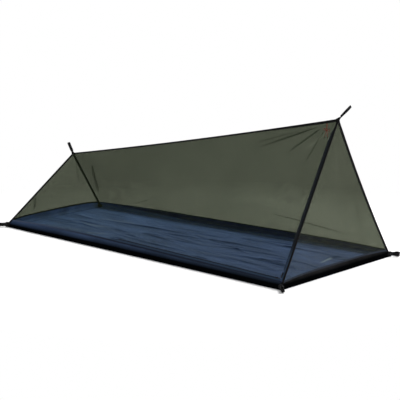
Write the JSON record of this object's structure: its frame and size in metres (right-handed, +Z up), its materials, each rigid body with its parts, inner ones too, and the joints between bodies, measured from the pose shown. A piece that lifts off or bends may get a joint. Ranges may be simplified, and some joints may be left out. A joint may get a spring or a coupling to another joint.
{
  "type": "lightweight net tent",
  "caption": "Low wedge-shaped net tent for one sleeper: mesh walls on a shallow bathtub floor, a corner zip door, and webbing loops to stake and hang it.",
  "frame": {"origin": "on the ground under the middle of the floor", "axes": "+X along the tent towards its tall head end, -Y towards the door side, +Z up"},
  "size_m": [2.2049, 1.0216, 0.8641],
  "materials": {
    "net": "fine black knitted mosquito net",
    "floor_fabric": "coated ripstop nylon, slight sheen",
    "wall_fabric": "coated ripstop nylon",
    "binding_tape": "black folded binding tape",
    "webbing": "black ribbed webbing",
    "zip_tape": "black coil zip tape",
    "zip_hardware": "dark plated zip hardware",
    "cord": "dark red braided cord",
    "cord_tip": "black cord ends"
  },
  "bodies": {
    "tent": {"ridge_binding": "binding_tape", "hip_binding_front_head": "binding_tape", "hip_binding_rear_head": "binding_tape", "hip_binding_front_foot": "binding_tape", "hip_binding_rear_foot": "binding_tape", "seam_tape_front": "binding_tape", "seam_tape_rear": "binding_tape", "seam_tape_head": "binding_tape", "seam_tape_foot": "binding_tape", "front_head_corner_anchor": "webbing", "rear_head_corner_anchor": "webbing", "front_foot_corner_anchor": "webbing", "rear_foot_corner_anchor": "webbing", "head_apex_anchor": "webbing", "foot_apex_anchor": "webbing", "floor_panel": "floor_fabric", "front_wall": "wall_fabric", "rear_wall": "wall_fabric", "head_wall": "wall_fabric", "foot_wall": "wall_fabric", "rear_panel": "net", "front_panel": "net", "head_panel": "net", "foot_panel": "net", "hip_zip_fixed_half": "zip_tape", "sill_zip_fixed_half": "zip_tape", "hip_zip_stop": "zip_hardware", "sill_zip_stop": "zip_hardware", "tie_tab": "binding_tape", "tie_knot": "cord", "tie_tail_left": "cord", "tie_tip_left": "cord_tip", "tie_tail_right": "cord", "tie_tip_right": "cord_tip", "tie_loop_left": "cord", "tie_loop_right": "cord", "tie_strand_left": "cord", "tie_strand_right": "cord"},
    "door": {"door_panel": "net", "hip_zip_door_half": "zip_tape", "sill_zip_door_half": "zip_tape"},
    "hip_slider": {"hip_zip_slider": "zip_hardware"},
    "sill_slider": {"sill_zip_slider": "zip_hardware"},
    "hip_pull": {"hip_zip_pull": "zip_hardware"},
    "sill_pull": {"sill_zip_pull": "zip_hardware"},
    "front_head_corner_loop": {"front_head_corner_loop": "webbing"},
    "rear_head_corner_loop": {"rear_head_corner_loop": "webbing"},
    "front_foot_corner_loop": {"front_foot_corner_loop": "webbing"},
    "rear_foot_corner_loop": {"rear_foot_corner_loop": "webbing"},
    "head_apex_loop": {"head_apex_loop": "webbing"},
    "foot_apex_loop": {"foot_apex_loop": "webbing"}
  },
  "joints": [
    {"name": "door_fold", "type": "hinge", "parent": "tent", "child": "door", "pos_m": [-0.19417, -0.39043, 0.05231], "axis": [-0.8522, -0.241, -0.4644], "range_deg": [0, 150]},
    {"name": "hip_zip_slide", "type": "slide", "parent": "tent", "child": "hip_slider", "axis": [-0.0144, 0.517, 0.8559], "range_m": [0, 0.733]},
    {"name": "sill_zip_slide", "type": "slide", "parent": "tent", "child": "sill_slider", "axis": [-0.9986, 0.0526, 0.0112], "range_m": [0, 1.1556]},
    {"name": "hip_pull_swing", "type": "hinge", "parent": "hip_slider", "child": "hip_pull", "pos_m": [1.03081, -0.43511, 0.07682], "axis": [-0.9991, 0.0262, -0.0326], "range_deg": [0, 170]},
    {"name": "sill_pull_swing", "type": "hinge", "parent": "sill_slider", "child": "sill_pull", "pos_m": [1.00016, -0.44792, 0.05325], "axis": [-0.0368, -0.515, -0.8564], "range_deg": [0, 170]},
    {"name": "head_apex_loop_flex", "type": "hinge", "parent": "tent", "child": "head_apex_loop", "pos_m": [1.04804, 0, 0.80266], "axis": [0, 1, 0], "range_deg": [-30, 30], "stiffness_Nm_per_rad": 0.02},
    {"name": "foot_apex_loop_flex", "type": "hinge", "parent": "tent", "child": "foot_apex_loop", "pos_m": [-0.89391, 0, 0.42216], "axis": [0, 1, 0], "range_deg": [-30, 30], "stiffness_Nm_per_rad": 0.02},
    {"name": "front_head_corner_loop_flex", "type": "hinge", "parent": "tent", "child": "front_head_corner_loop", "pos_m": [1.05873, -0.47623, 0.0155], "axis": [0, 0, 1], "range_deg": [-40, 40], "stiffness_Nm_per_rad": 0.02},
    {"name": "rear_head_corner_loop_flex", "type": "hinge", "parent": "tent", "child": "rear_head_corner_loop", "pos_m": [1.05873, 0.47623, 0.0155], "axis": [0, 0, 1], "range_deg": [-40, 40], "stiffness_Nm_per_rad": 0.02},
    {"name": "front_foot_corner_loop_flex", "type": "hinge", "parent": "tent", "child": "front_foot_corner_loop", "pos_m": [-1.05873, -0.39023, 0.0155], "axis": [0, 0, 1], "range_deg": [-40, 40], "stiffness_Nm_per_rad": 0.02},
    {"name": "rear_foot_corner_loop_flex", "type": "hinge", "parent": "tent", "child": "rear_foot_corner_loop", "pos_m": [-1.05873, 0.39023, 0.0155], "axis": [0, 0, 1], "range_deg": [-40, 40], "stiffness_Nm_per_rad": 0.02}
  ]
}
